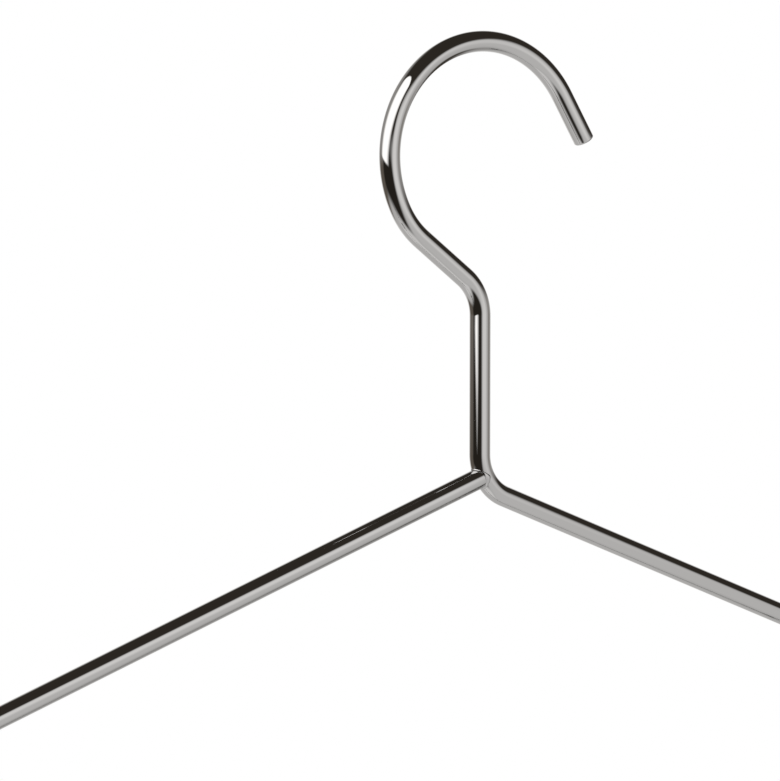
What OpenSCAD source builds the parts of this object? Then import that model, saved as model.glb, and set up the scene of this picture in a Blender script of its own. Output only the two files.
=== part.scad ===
// Trouser hanger: a bent chrome rod with a hook, sloping shoulders, a lower bar
// and two sprung clips that slide, swing and open on the bar.
// The origin is where the hook rests on its rail. X runs along the bar, Y points
// away from the viewer and Z points up.

/* [Rod] */
// Diameter of the steel rod
rod_d = 5; // [4:0.1:6]
// How much thinner the rod is in its bends, on the radius
rod_thinning = 0.01; // [0.005:0.005:0.03]
// Chamfer on the cut end of the hook
tip_chamfer = 0.4; // [0.2:0.05:0.8]

/* [Hook] */
// Clear diameter inside the hook, for the rail
hook_inner_d = 49.5; // [40:0.5:60]
// Direction from the hook's centre to where its straight tip starts
hook_tip_angle = 31.5; // [20:0.5:50]
// Straight length at the hook's tip
hook_tip_length = 12.7; // [5:0.1:18]
// Bend radius where the hook runs into its tail, at the rod's centre
tail_bend_r = 21; // [18:0.5:24]
// Turn of the bend between hook and tail
tail_bend_turn = 26; // [10:1:40]
// Slope of the straight run between hook and neck
hook_tail_slope = 36.5; // [30:0.5:45]
// Distance of the neck to the left of the hook's centre
hook_offset = 0.85; // [0:0.05:4]
// Height of the hook's centre above the corner of the shoulders
hook_rise = 79; // [70:0.5:95]

/* [Shoulders] */
// Overall width of the hanger
hanger_w = 420; // [360:5:460]
// Slope of the right shoulder
shoulder_slope = 20.4; // [18:0.1:25]
// How far above the shoulders' corner the left rod meets the neck
left_rod_rise = 1.9; // [0:0.1:3]
// Bend radius between hook and neck, at the rod's centre
neck_bend_r = 11.5; // [8:0.5:14]
// Bend radius between neck and right shoulder, at the rod's centre
corner_bend_r = 11; // [8:0.5:14]
// Bend radius of the shoulder ends, at the rod's centre
end_bend_r = 11; // [9:0.5:16]
// Straight run from a shoulder end to the bar's joint
bar_stub = 10; // [4:1:20]

/* [Welds] */
// Height of the weld at the neck above the left rod
neck_weld_h = 0.25; // [0.15:0.05:0.5]
// Width of the weld from the neck along the left rod
neck_weld_w = 0.9; // [0.5:0.1:1.5]
// Height of the bar's polished welds above the rod
bar_weld_h = 0.15; // [0.05:0.05:0.3]
// Length of the bar's welds
bar_weld_length = 1.6; // [1:0.1:3]

/* [Clips] */
// Distance from the middle of the bar to each clip
clip_x = 120; // [80:1:150]
// Width of a clip
clip_w = 26; // [22:1:32]
// Thickness of the sheet steel in the jaws
sheet_t = 1; // [0.8:0.1:1.2]
// How much the sheet draws in at its bends, on each side
sheet_thinning = 0.03; // [0.02:0.01:0.05]
// Radius of the ears that carry a jaw
ear_r = 5.2; // [4.8:0.1:6]
// How far the ears stand in from the sheet's side edges
ear_inset = 0.3; // [0.1:0.1:0.6]
// Side gap between the ears
ear_gap = 0.3; // [0.2:0.05:0.5]
// Distance from the bar to the middle of the sheet
sheet_y = 8; // [7.8:0.1:9]
// Bend radius in the sheet, at its middle
sheet_bend_r = 6; // [4:0.5:8]
// Straight run of the sheet above and below the bar
waist_run = 4; // [3:0.5:6]
// Lean of the finger levers
lever_lean = 30; // [25:1:35]
// Straight length of a lever
lever_run = 9; // [6:0.5:12]
// Radius of the rolled edge on a lever, at the middle of the sheet
lever_roll_r = 2; // [1.5:0.1:3]
// Turn of the rolled edge
lever_roll = 100; // [60:5:130]
// Lean of the jaws towards the cloth
jaw_lean = 14; // [12:1:18]

/* [Pads] */
// Thickness of rubber between sheet and cloth
pad_grip_t = 2.3; // [1.5:0.1:3]
// Thickness of rubber round the sheet's edges and back
pad_wall_t = 1.2; // [0.8:0.1:1.6]
// Gap between the two pads of a closed clip
pad_gap = 0.3; // [0.2:0.05:0.6]
// Depth of the pad on the jaw's tip
pad_h = 10.5; // [8:0.5:14]
// Straight run of the sheet above the pad
pad_margin = 0.5; // [0.2:0.1:2]
// Number of grooves across a pad's grip
groove_n = 4; // [3:1:6]
// Radius of a groove
groove_r = 0.5; // [0.3:0.05:0.8]
// Corner radius of a pad
pad_corner_r = 1; // [0.4:0.1:1.1]

/* [Bush and spring] */
// Wall thickness of the nylon bush
bush_t = 0.9; // [0.8:0.05:1.2]
// Running clearance of the bush on the bar, on the radius
bush_clearance = 0.05; // [0.03:0.01:0.09]
// Running clearance of the ears on the bush, on the radius
ear_clearance = 0.1; // [0.05:0.01:0.2]
// Thickness of the bush's flanges
flange_t = 1; // [0.8:0.1:1.5]
// Height of the flanges above the bush
flange_h = 1; // [0.6:0.1:1.3]
// Width of the slit that lets the bush snap over the bar
slit_w = 1; // [0.6:0.1:1.5]
// Diameter of the spring wire
wire_d = 1.2; // [1:0.1:1.3]
// Gap between the spring and the bush
coil_clearance = 0.3; // [0.2:0.05:0.4]
// Distance from one turn of the spring to the next
coil_pitch = 1.9; // [1.8:0.05:2.2]
// Whole turns of the spring
coil_turns = 6; // [4:1:6]
// Gap between the spring's legs and the levers
leg_clearance = 0.15; // [0.1:0.05:0.3]
// How far up the lever a spring's leg bends to lie along it
leg_knee_up = 0.5; // [0.2:0.1:1]

/* [Hidden] */
$fn = 48;
over = 1;            // how far a cutter runs past what it cuts
lap = 0.1;           // how far a straight run reaches into a bend, to fuse with it
chrome = [0.72, 0.72, 0.73];
steel = [0.55, 0.56, 0.58];
rubber = [0.06, 0.06, 0.065];
nylon = [0.82, 0.82, 0.8];

rod_r = rod_d / 2;

// Places in the hanger's plane are [x, z]
hook_r = hook_inner_d / 2 + rod_r;
hook_centre = [0, -hook_inner_d / 2];
neck_x = -hook_offset;
corner_z = hook_centre[1] - hook_rise;
tip_start = around(hook_centre, hook_r, hook_tip_angle);
tip_end = along(tip_start, hook_tip_angle - 90, hook_tip_length);
tail_bend_start = 270 - hook_tail_slope - tail_bend_turn;
tail_bend_centre = around(hook_centre, hook_r - tail_bend_r, tail_bend_start);
tail_start = around(tail_bend_centre, tail_bend_r, 270 - hook_tail_slope);
neck_turn = 90 - hook_tail_slope;
neck_top_z = tail_start[1] - (neck_x - tail_start[0]) * tan(hook_tail_slope);
neck_bend_centre = [neck_x - neck_bend_r, neck_top_z - neck_bend_r * tan(neck_turn / 2)];
corner_turn = 90 - shoulder_slope;
corner_bend_centre = [neck_x + corner_bend_r, corner_z + corner_bend_r * tan(corner_turn / 2)];
end_reach = hanger_w / 2 - rod_r - end_bend_r;
end_z = corner_z - end_reach * tan(shoulder_slope) - end_bend_r / cos(shoulder_slope);
right_end_centre = [neck_x + end_reach, end_z];
left_end_centre = [neck_x - end_reach, end_z];
bar_z = end_z - end_bend_r;
bar_reach = end_reach - bar_stub;

// The left rod's line touches the left end bend and meets the neck above the corner
left_foot = [neck_x, corner_z + left_rod_rise];
left_span = norm(left_foot - left_end_centre);
left_slope = asin((left_foot[1] - end_z) / left_span) - asin(end_bend_r / left_span);

// Clip places, with the bar's axis at y = 0, z = 0
bush_r = rod_r + bush_clearance + bush_t;
ear_bore_r = bush_r + ear_clearance;
rear_ear_x = clip_w / 2 - ear_inset - sheet_t;
front_ear_x = rear_ear_x - ear_gap - ear_inset - sheet_t;
bush_length = clip_w + 2 * ear_gap;
front_waist_w = 2 * (front_ear_x + sheet_t + ear_inset);
tip_y = pad_gap / 2 + pad_grip_t + sheet_t / 2;
jaw_run = (sheet_y - tip_y - 2 * sheet_bend_r * (1 - cos(jaw_lean))) / sin(jaw_lean);
tip_top_z = -(waist_run + 2 * sheet_bend_r * sin(jaw_lean) + jaw_run * cos(jaw_lean));
tip_run = pad_h + pad_margin;
tip_bottom_z = tip_top_z - tip_run;
notch_top_z = ear_r + 1.5;
pad_y = pad_gap / 2;
pad_back_y = tip_y + sheet_t / 2 + pad_wall_t;
pad_w = clip_w + 2 * pad_wall_t;
pad_bottom_z = tip_bottom_z - pad_wall_t;
groove_pitch = pad_h / (groove_n + 1);

// Spring places
wire_r = wire_d / 2;
coil_r = bush_r + coil_clearance + wire_r;
leg_end_up = lever_run - wire_d;
lever_foot = [
    sheet_y + sheet_bend_r * (1 - cos(lever_lean)),
    waist_run + sheet_bend_r * sin(lever_lean)
];
leg_knee = inside_lever(leg_knee_up);
leg_end = inside_lever(leg_end_up);
leg_turn = atan2(leg_knee[1], leg_knee[0]) - acos(coil_r / norm(leg_knee));
coil_sweep = 360 * coil_turns + 2 * leg_turn - 180;
coil_length = coil_pitch * coil_sweep / 360;
coil_steps = ceil(coil_sweep / 45);
coil_points = [for (i = [0 : coil_steps])
    coil_point(leg_turn - coil_sweep * i / coil_steps, coil_length * (i / coil_steps - 0.5))];
spring_points = concat(
    [[-coil_length / 2, leg_end[0], leg_end[1]], [-coil_length / 2, leg_knee[0], leg_knee[1]]],
    coil_points,
    [[coil_length / 2, -leg_knee[0], leg_knee[1]], [coil_length / 2, -leg_end[0], leg_end[1]]]
);
spring_turns = concat(
    [leg_turn, leg_turn],
    [for (i = [0 : coil_steps]) leg_turn - coil_sweep * i / coil_steps],
    [leg_turn - coil_sweep, leg_turn - coil_sweep]
);
// Points one turn apart or more, so that neighbours along the wire don't count
spring_gap = min([for (i = [0 : coil_steps - 3], j = [i + 7 : coil_steps + 4])
    norm(spring_points[i] - spring_points[j])]) - wire_d;
echo(spring_gap = spring_gap);

function around(centre, radius, angle) = centre + radius * [cos(angle), sin(angle)];
function along(start, angle, distance) = start + distance * [cos(angle), sin(angle)];
// A place for the middle of the wire beside the lever, so far up from the lever's foot
function inside_lever(up) = along(
    along(lever_foot, 90 - lever_lean, up),
    180 - lever_lean,
    sheet_t / 2 + leg_clearance + wire_r
);
function coil_point(angle, x) = [x, coil_r * cos(angle), coil_r * sin(angle)];
function unit(v) = v / norm(v);

// Stands its children's Z axis on the line between two places in the hanger's plane
module on_line(from, to) {
    run = to - from;
    translate([from[0], 0, from[1]])
        rotate([0, 90 - atan2(run[1], run[0]), 0])
            children();
}

// A straight rod between two places, lapping into the bends at its start and end
module straight_rod(from, to, start_lap = lap, end_lap = lap, grow = 0) {
    on_line(from, to)
        translate([0, 0, -start_lap])
            cylinder(r = rod_r + grow, h = norm(to - from) + start_lap + end_lap);
}

// A bend in the hanger's plane, turning anticlockwise from start as the viewer sees it
module rod_bend(centre, bend_r, start, sweep, grow = 0) {
    translate([centre[0], 0, centre[1]])
        rotate([90, 0, 0])
            rotate([0, 0, start])
                rotate_extrude(angle = sweep)
                    translate([bend_r, 0])
                        circle(r = rod_r - rod_thinning + grow);
}

// The short straight between two bends that follow on each other
module bend_joint(place, heading) {
    straight_rod(place, along(place, heading, lap), end_lap = 0);
}

module hook_tip() {
    shank = hook_tip_length - tip_chamfer;
    on_line(tip_start, tip_end) {
        translate([0, 0, -lap]) cylinder(r = rod_r, h = lap + shank);
        translate([0, 0, shank]) cylinder(r1 = rod_r, r2 = rod_r - tip_chamfer, h = tip_chamfer);
    }
}

module neck(grow = 0) {
    straight_rod([neck_x, neck_bend_centre[1]], [neck_x, corner_bend_centre[1]], grow = grow);
    rod_bend(corner_bend_centre, corner_bend_r, 180, corner_turn, grow);
}

module hook_rod() {
    color(chrome) {
        hook_tip();
        rod_bend(hook_centre, hook_r, hook_tip_angle, tail_bend_start - hook_tip_angle);
        bend_joint(around(hook_centre, hook_r, tail_bend_start), tail_bend_start + 90);
        rod_bend(tail_bend_centre, tail_bend_r, tail_bend_start, tail_bend_turn);
        straight_rod(tail_start, around(neck_bend_centre, neck_bend_r, neck_turn));
        rod_bend(neck_bend_centre, neck_bend_r, 0, neck_turn);
        neck();
        straight_rod(
            around(corner_bend_centre, corner_bend_r, 270 - shoulder_slope),
            around(right_end_centre, end_bend_r, 90 - shoulder_slope)
        );
        rod_bend(right_end_centre, end_bend_r, -90, 180 - shoulder_slope);
        straight_rod([right_end_centre[0], bar_z], [neck_x + bar_reach, bar_z], end_lap = 0);
    }
}

// The left rod's straight run, which is cut square at the foot of the neck
module left_run(grow = 0, end_lap = 0) {
    straight_rod(
        around(left_end_centre, end_bend_r, 90 + left_slope), left_foot,
        end_lap = end_lap, grow = grow
    );
}

module left_shoulder_rod() {
    color(chrome) {
        difference() {
            left_run();
            neck();
        }
        rod_bend(left_end_centre, end_bend_r, 90 + left_slope, 180 - left_slope);
        straight_rod([left_end_centre[0], bar_z], [neck_x - bar_reach, bar_z], end_lap = 0);
    }
}

// The weld fills the gap between the left rod's square end and the side of the neck's bend
module neck_weld() {
    color(chrome)
        difference() {
            intersection() {
                left_run(neck_weld_h, rod_r);
                neck(neck_weld_w);
            }
            left_run();
            neck();
        }
}

module trouser_bar() {
    color(chrome)
        straight_rod([neck_x - bar_reach, bar_z], [neck_x + bar_reach, bar_z], start_lap = 0, end_lap = 0);
}

module bar_weld(x) {
    color(chrome)
        translate([x - bar_weld_length / 2, 0, bar_z])
            rotate([0, 90, 0])
                difference() {
                    cylinder(r = rod_r + bar_weld_h, h = bar_weld_length);
                    translate([0, 0, -over]) cylinder(r = rod_r, h = bar_weld_length + 2 * over);
                }
}

// A disc or tube whose axis is the bar's, centred on x
module bar_disc(radius, width) {
    rotate([0, 90, 0]) cylinder(r = radius, h = width, center = true);
}

// The nylon bush that slides on the bar, slit along its top
module bush() {
    color(nylon)
        difference() {
            union() {
                bar_disc(bush_r, bush_length + flange_t);
                for (side = [-1, 1])
                    translate([side * (bush_length + flange_t) / 2, 0, 0])
                        bar_disc(bush_r + flange_h, flange_t);
            }
            bar_disc(rod_r + bush_clearance, bush_length + 3 * flange_t + over);
            translate([0, 0, bush_r]) cube([bush_length + 3 * flange_t, slit_w, 2 * bush_r], center = true);
        }
}

// Sheet bent along runs of [length, bend radius, turn towards +Y], going up from the origin
module bent_sheet(width, runs, i = 0) {
    length = runs[i][0];
    bend_r = runs[i][1];
    turn = runs[i][2];
    side = sign(turn);
    start_lap = i > 0 ? lap : 0;
    end_lap = turn != 0 ? lap : 0;
    bent_t = sheet_t - 2 * sheet_thinning;
    bent_w = width - 2 * sheet_thinning;
    translate([-width / 2, -sheet_t / 2, -start_lap])
        cube([width, sheet_t, start_lap + length + end_lap]);
    translate([0, 0, length]) {
        if (turn != 0)
            mirror([0, side < 0 ? 1 : 0, 0])
                translate([0, bend_r, 0])
                    rotate([90, 0, -90])
                        rotate_extrude(angle = abs(turn))
                            translate([bend_r - bent_t / 2, -bent_w / 2])
                                square([bent_t, bent_w]);
        if (i + 1 < len(runs))
            translate([0, side * bend_r, 0])
                rotate([-turn, 0, 0])
                    translate([0, -side * bend_r, 0])
                        bent_sheet(width, runs, i + 1);
    }
}

// The rear jaw's sheet: lever above the bar, jaw below it
module jaw_sheet() {
    translate([0, sheet_y, 0]) {
        bent_sheet(clip_w, [
            [waist_run, sheet_bend_r, lever_lean],
            [lever_run, lever_roll_r, lever_roll]
        ]);
        mirror([0, 0, 1])
            bent_sheet(clip_w, [
                [waist_run, sheet_bend_r, -jaw_lean],
                [jaw_run, sheet_bend_r, jaw_lean],
                [tip_run, 0, 0]
            ]);
    }
}

// Two ears that stand in from the sheet to the bar
module jaw_ears(ear_x) {
    for (side = [-1, 1])
        translate([side * (ear_x + sheet_t / 2), 0, 0])
            rotate([0, 90, 0])
                linear_extrude(height = sheet_t, center = true)
                    difference() {
                        union() {
                            circle(r = ear_r);
                            translate([-ear_r, 0]) square([2 * ear_r, sheet_y]);
                        }
                        circle(r = ear_bore_r);
                    }
}

module rear_jaw() {
    color(chrome) {
        jaw_sheet();
        jaw_ears(rear_ear_x);
    }
}

// The front jaw is the rear one turned round, with a narrower waist between the rear ears
module front_jaw() {
    color(chrome)
        mirror([0, 1, 0]) {
            difference() {
                jaw_sheet();
                for (side = [-1, 1])
                    translate([side * (front_waist_w + clip_w) / 2, sheet_y, 0])
                        cube([clip_w, 4 * sheet_t, 2 * notch_top_z], center = true);
            }
            jaw_ears(front_ear_x);
        }
}

// A rubber boot over the rear jaw's tip, with grooves across its grip
module pad() {
    color(rubber)
        difference() {
            translate([0, (pad_y + pad_back_y) / 2, pad_bottom_z])
                linear_extrude(height = pad_h + pad_wall_t)
                    rounded_rectangle(pad_w, pad_back_y - pad_y, pad_corner_r);
            translate([-clip_w / 2, tip_y - sheet_t / 2, tip_bottom_z])
                cube([clip_w, sheet_t, pad_h + over]);
            for (i = [1 : groove_n])
                translate([0, pad_y, pad_bottom_z + i * groove_pitch])
                    bar_disc(groove_r, pad_w + over);
        }
}

module rounded_rectangle(width, depth, corner_r) {
    square([width - 2 * corner_r, depth], center = true);
    square([width, depth - 2 * corner_r], center = true);
    for (x = [-1, 1], y = [-1, 1])
        translate([x * (width / 2 - corner_r), y * (depth / 2 - corner_r)])
            circle(r = corner_r);
}

// The spring's wire, swept along its points with six sides
module spring() {
    sides = 6;
    last = len(spring_points) - 1;
    rings = [for (i = [0 : last])
        let (
            heading = unit(spring_points[min(i + 1, last)] - spring_points[max(i - 1, 0)]),
            out = [0, cos(spring_turns[i]), sin(spring_turns[i])],
            across = unit(cross(heading, out)),
            up = cross(across, heading)
        )
        [for (k = [0 : sides - 1])
            spring_points[i] + wire_r * (cos(360 * k / sides) * up + sin(360 * k / sides) * across)]];
    faces = concat(
        [[for (k = [0 : sides - 1]) k]],
        [for (i = [0 : last - 1], k = [0 : sides - 1])
            let (a = i * sides + k, b = i * sides + (k + 1) % sides)
            each [[a, a + sides, b + sides], [a, b + sides, b]]],
        [[for (k = [sides - 1 : -1 : 0]) last * sides + k]]
    );
    color(steel)
        polyhedron(points = [for (ring = rings) each ring], faces = faces);
}

// Puts a clip's piece on the bar, on the left side (-1) or the right side (1)
module on_bar(side) {
    translate([neck_x + side * clip_x, 0, bar_z]) children();
}

module left_bush() { on_bar(-1) bush(); }
module left_rear_jaw() { on_bar(-1) rear_jaw(); }
module left_rear_pad() { on_bar(-1) pad(); }
module left_spring() { on_bar(-1) spring(); }
module left_front_jaw() { on_bar(-1) front_jaw(); }
module left_front_pad() { on_bar(-1) mirror([0, 1, 0]) pad(); }
module right_bush() { on_bar(1) bush(); }
module right_rear_jaw() { on_bar(1) rear_jaw(); }
module right_rear_pad() { on_bar(1) pad(); }
module right_spring() { on_bar(1) spring(); }
module right_front_jaw() { on_bar(1) front_jaw(); }
module right_front_pad() { on_bar(1) mirror([0, 1, 0]) pad(); }

hook_rod();
left_shoulder_rod();
neck_weld();
trouser_bar();
bar_weld(neck_x - bar_reach);  // left_bar_weld
bar_weld(neck_x + bar_reach);  // right_bar_weld
left_bush();
left_rear_jaw();
left_rear_pad();
left_spring();
left_front_jaw();
left_front_pad();
right_bush();
right_rear_jaw();
right_rear_pad();
right_spring();
right_front_jaw();
right_front_pad();
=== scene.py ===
import math
import random

import bpy
import bmesh
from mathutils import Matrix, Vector


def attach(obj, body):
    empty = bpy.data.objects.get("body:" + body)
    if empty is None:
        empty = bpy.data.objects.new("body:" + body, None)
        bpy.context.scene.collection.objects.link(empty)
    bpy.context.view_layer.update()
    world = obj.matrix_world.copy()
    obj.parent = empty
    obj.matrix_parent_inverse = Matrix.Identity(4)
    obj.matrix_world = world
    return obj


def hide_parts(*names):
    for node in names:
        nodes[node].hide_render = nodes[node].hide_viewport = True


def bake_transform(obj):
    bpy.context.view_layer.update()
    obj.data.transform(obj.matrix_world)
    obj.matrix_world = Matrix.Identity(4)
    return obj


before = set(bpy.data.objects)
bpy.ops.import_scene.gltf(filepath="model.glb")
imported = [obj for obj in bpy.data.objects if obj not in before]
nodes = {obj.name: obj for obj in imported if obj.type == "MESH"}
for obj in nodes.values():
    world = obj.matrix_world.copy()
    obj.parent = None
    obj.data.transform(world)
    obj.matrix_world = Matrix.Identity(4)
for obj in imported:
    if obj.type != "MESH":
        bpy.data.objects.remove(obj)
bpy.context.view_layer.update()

mm = 0.001  # lengths below are in millimetres and are scaled where a mesh is made
print("frame loaded:", len(nodes), "CAD nodes")


# Small helpers for node trees

def addSocket(group, name, direction, value=None):
    socket = group.interface.new_socket(name=name, in_out=direction, socket_type="NodeSocketFloat")
    if value is not None:
        socket.default_value = value


def addNode(tree, kind, **settings):
    made = tree.nodes.new(kind)
    for name, value in settings.items():
        setattr(made, name, value)
    return made


def feed(tree, value, socket):
    # a number is written on the socket, anything else is linked to it
    if isinstance(value, (int, float)):
        socket.default_value = value
    else:
        tree.links.new(value, socket)


def calc(tree, operation, a, b=None):
    made = addNode(tree, "ShaderNodeMath", operation=operation)
    feed(tree, a, made.inputs[0])
    if b is not None:
        feed(tree, b, made.inputs[1])
    return made.outputs[0]


def fade(tree, value, low, high, toLow=0.0, toHigh=1.0):
    made = addNode(tree, "ShaderNodeMapRange", interpolation_type="SMOOTHSTEP")
    for name, number in (("Value", value), ("From Min", low), ("From Max", high),
                         ("To Min", toLow), ("To Max", toHigh)):
        feed(tree, number, made.inputs[name])
    return made.outputs["Result"]


def noise(tree, vector, scale, detail, roughness=0.5):
    made = addNode(tree, "ShaderNodeTexNoise")
    tree.links.new(vector, made.inputs["Vector"])
    made.inputs["Scale"].default_value = scale
    made.inputs["Detail"].default_value = detail
    made.inputs["Roughness"].default_value = roughness
    return made.outputs["Fac"]


def mixColour(tree, share, first, second):
    made = addNode(tree, "ShaderNodeMix", data_type="RGBA")
    tree.links.new(share, made.inputs["Factor"])
    for name, colour in (("A", first), ("B", second)):
        socket = [s for s in made.inputs if s.name == name and s.type == "RGBA"][0]
        if isinstance(colour, tuple):
            socket.default_value = (*colour, 1)
        else:
            tree.links.new(colour, socket)
    return [s for s in made.outputs if s.type == "RGBA"][0]


def newMaterial(name):
    material = bpy.data.materials.new(name)
    material.use_nodes = True
    return material, material.node_tree, material.node_tree.nodes["Principled BSDF"]


def addBump(tree, shader, height, distance):
    bump = addNode(tree, "ShaderNodeBump")
    bump.inputs["Distance"].default_value = distance
    tree.links.new(height, bump.inputs["Height"])
    tree.links.new(bump.outputs["Normal"], shader.inputs["Normal"])


# Plated steel: slow waves left by polishing, faint rubbing marks and rare pinholes in the plating
polish = {
    "waveScale": 70.0, "markScale": (60.0, 900.0, 900.0), "markFrom": 0.60, "markTo": 0.80,
    "markHeight": -0.005, "pinholeScale": 420.0, "pinholeSize": 0.07, "pinholeRarity": 0.985,
    "pinholeEdge": 1.6, "pinholeShade": 0.55,
}


def makePolishGroup():
    group = bpy.data.node_groups.new("platedPolish", "ShaderNodeTree")
    for name in ("Waviness", "Marks", "Pinholes"):
        addSocket(group, name, "INPUT", 1.0)
    for name in ("Height", "Haze", "Specks"):
        addSocket(group, name, "OUTPUT")
    inside = addNode(group, "NodeGroupInput")
    outside = addNode(group, "NodeGroupOutput")
    coords = addNode(group, "ShaderNodeTexCoord").outputs["Object"]
    wave = noise(group, coords, polish["waveScale"], 1.0, 0.4)
    wave = calc(group, "MULTIPLY", wave, inside.outputs["Waviness"])
    stretched = addNode(group, "ShaderNodeMapping")  # marks run along the bar
    stretched.inputs["Scale"].default_value = polish["markScale"]
    group.links.new(coords, stretched.inputs["Vector"])
    marks = noise(group, stretched.outputs["Vector"], 1.0, 3.0, 0.6)
    marks = fade(group, marks, polish["markFrom"], polish["markTo"])
    marks = calc(group, "MULTIPLY", marks, inside.outputs["Marks"])
    cells = addNode(group, "ShaderNodeTexVoronoi")
    cells.inputs["Scale"].default_value = polish["pinholeScale"]
    group.links.new(coords, cells.inputs["Vector"])
    pick = addNode(group, "ShaderNodeSeparateColor")
    group.links.new(cells.outputs["Color"], pick.inputs["Color"])
    rare = fade(group, pick.outputs["Red"], polish["pinholeRarity"], polish["pinholeRarity"] + 0.005)
    dot = fade(group, cells.outputs["Distance"], polish["pinholeSize"] * polish["pinholeEdge"],
               polish["pinholeSize"])
    specks = calc(group, "MULTIPLY", calc(group, "MULTIPLY", dot, rare), inside.outputs["Pinholes"])
    height = calc(group, "ADD", wave, calc(group, "MULTIPLY", marks, polish["markHeight"]))
    group.links.new(height, outside.inputs["Height"])
    group.links.new(marks, outside.inputs["Haze"])
    group.links.new(specks, outside.inputs["Specks"])
    return group


# Moulded rubber and nylon: cloudy colour and a fine grain from the mould
def makeGrainGroup():
    group = bpy.data.node_groups.new("mouldedGrain", "ShaderNodeTree")
    addSocket(group, "Scale", "INPUT", 900.0)
    for name in ("Cloud", "Grain"):
        addSocket(group, name, "OUTPUT")
    inside = addNode(group, "NodeGroupInput")
    outside = addNode(group, "NodeGroupOutput")
    coords = addNode(group, "ShaderNodeTexCoord").outputs["Object"]
    cloud = noise(group, coords, 1.0, 3.0, 0.6)
    grain = noise(group, coords, 1.0, 2.0)
    feed(group, calc(group, "MULTIPLY", inside.outputs["Scale"], 0.15), cloud.node.inputs["Scale"])
    feed(group, inside.outputs["Scale"], grain.node.inputs["Scale"])
    group.links.new(fade(group, cloud, 0.35, 0.65), outside.inputs["Cloud"])
    group.links.new(grain, outside.inputs["Grain"])
    return group


polishGroup = makePolishGroup()
grainGroup = makeGrainGroup()


def makePlated(name, colour, roughness, hazeRoughness, waviness, marks, pinholes, bump):
    material, tree, shader = newMaterial(name)
    shader.inputs["Metallic"].default_value = 1.0
    finish = addNode(tree, "ShaderNodeGroup", node_tree=polishGroup)
    finish.inputs["Waviness"].default_value = waviness
    finish.inputs["Marks"].default_value = marks
    finish.inputs["Pinholes"].default_value = pinholes
    tarnish = tuple(c * polish["pinholeShade"] for c in colour)
    tree.links.new(mixColour(tree, finish.outputs["Specks"], colour, tarnish), shader.inputs["Base Color"])
    tree.links.new(fade(tree, finish.outputs["Haze"], 0.0, 1.0, roughness, hazeRoughness),
                   shader.inputs["Roughness"])
    addBump(tree, shader, finish.outputs["Height"], bump)
    return material


def makeMoulded(name, colour, cloudColour, roughness, scale, bump):
    material, tree, shader = newMaterial(name)
    finish = addNode(tree, "ShaderNodeGroup", node_tree=grainGroup)
    finish.inputs["Scale"].default_value = scale
    tree.links.new(mixColour(tree, finish.outputs["Cloud"], cloudColour, colour), shader.inputs["Base Color"])
    tree.links.new(fade(tree, finish.outputs["Grain"], 0.3, 0.7, roughness - 0.06, roughness + 0.06),
                   shader.inputs["Roughness"])
    addBump(tree, shader, finish.outputs["Grain"], bump)
    return material


rodChrome = makePlated("rodChrome", (0.64, 0.64, 0.64), 0.03, 0.055, 1.0, 1.0, 1.0, 0.00001)
# the welds' chrome is rougher than the rods', and its colour is set darker than theirs as painted shade, so
# the bead at the joint reads darker
weldChromeShaded = makePlated("weldChromeShaded", (0.60, 0.60, 0.60), 0.07, 0.12, 2.0, 1.0, 1.0, 0.00003)
clipChrome = makePlated("clipChrome", (0.64, 0.64, 0.645), 0.14, 0.20, 1.5, 1.0, 1.0, 0.00002)
springSteel = makePlated("springSteel", (0.50, 0.50, 0.51), 0.20, 0.28, 1.0, 1.5, 0.5, 0.00003)
padRubber = makeMoulded("padRubber", (0.024, 0.024, 0.025), (0.014, 0.014, 0.015), 0.55, 900.0, 0.00008)
bushNylon = makeMoulded("bushNylon", (0.80, 0.79, 0.76), (0.72, 0.71, 0.68), 0.42, 500.0, 0.00003)
print("materials made")


# Meshes are made of rings of points that are joined one to the next

def finishPiece(name, mesh, material, replaced, body=None):
    bmesh.ops.recalc_face_normals(mesh, faces=mesh.faces)
    data = bpy.data.meshes.new(name)
    mesh.to_mesh(data)
    mesh.free()
    data.shade_smooth()
    piece = bpy.data.objects.new(name, data)
    bpy.context.scene.collection.objects.link(piece)
    data.materials.append(material)
    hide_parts(replaced)
    if body:
        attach(piece, body)
    return piece


def addRings(mesh, rings, closeLoop=False):
    made = [[mesh.verts.new(point) for point in ring] for ring in rings]
    pairs = list(zip(made, made[1:]))
    if closeLoop:
        pairs.append((made[-1], made[0]))
    for first, second in pairs:
        for i in range(len(first)):
            j = (i + 1) % len(first)
            mesh.faces.new((first[i], first[j], second[j], second[i]))
    if closeLoop:
        return
    for ring in (made[0], made[-1]):
        middle = mesh.verts.new(sum((v.co for v in ring), Vector()) / len(ring))
        for i in range(len(ring)):
            mesh.faces.new((ring[i], ring[(i + 1) % len(ring)], middle))


# Places in the hanger's plane are (x, z)

def around(centre, radius, degrees):
    angle = math.radians(degrees)
    return centre[0] + radius * math.cos(angle), centre[1] + radius * math.sin(angle)


def along(start, degrees, distance):
    return around(start, distance, degrees)


def arcPath(centre, radius, start, end, step=1.0):
    count = max(2, math.ceil(abs(end - start) / step))
    turn = 90 if end > start else -90
    path = []
    for i in range(count + 1):
        degrees = start + (end - start) * i / count
        path.append((around(centre, radius, degrees), around((0, 0), 1, degrees + turn)))
    return path


def linePath(start, end, count=1):
    heading = Vector((end[0] - start[0], end[1] - start[1])).normalized()
    path = []
    for i in range(count + 1):
        share = i / count
        place = (start[0] + (end[0] - start[0]) * share, start[1] + (end[1] - start[1]) * share)
        path.append((place, tuple(heading)))
    return path


def rodRing(place, heading, radius, sides):
    ring = []
    for k in range(sides):
        angle = 2 * math.pi * k / sides
        out, back = math.cos(angle) * radius, math.sin(angle) * radius
        ring.append(Vector((place[0] - heading[1] * out, back, place[1] + heading[0] * out)) * mm)
    return ring


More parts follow.
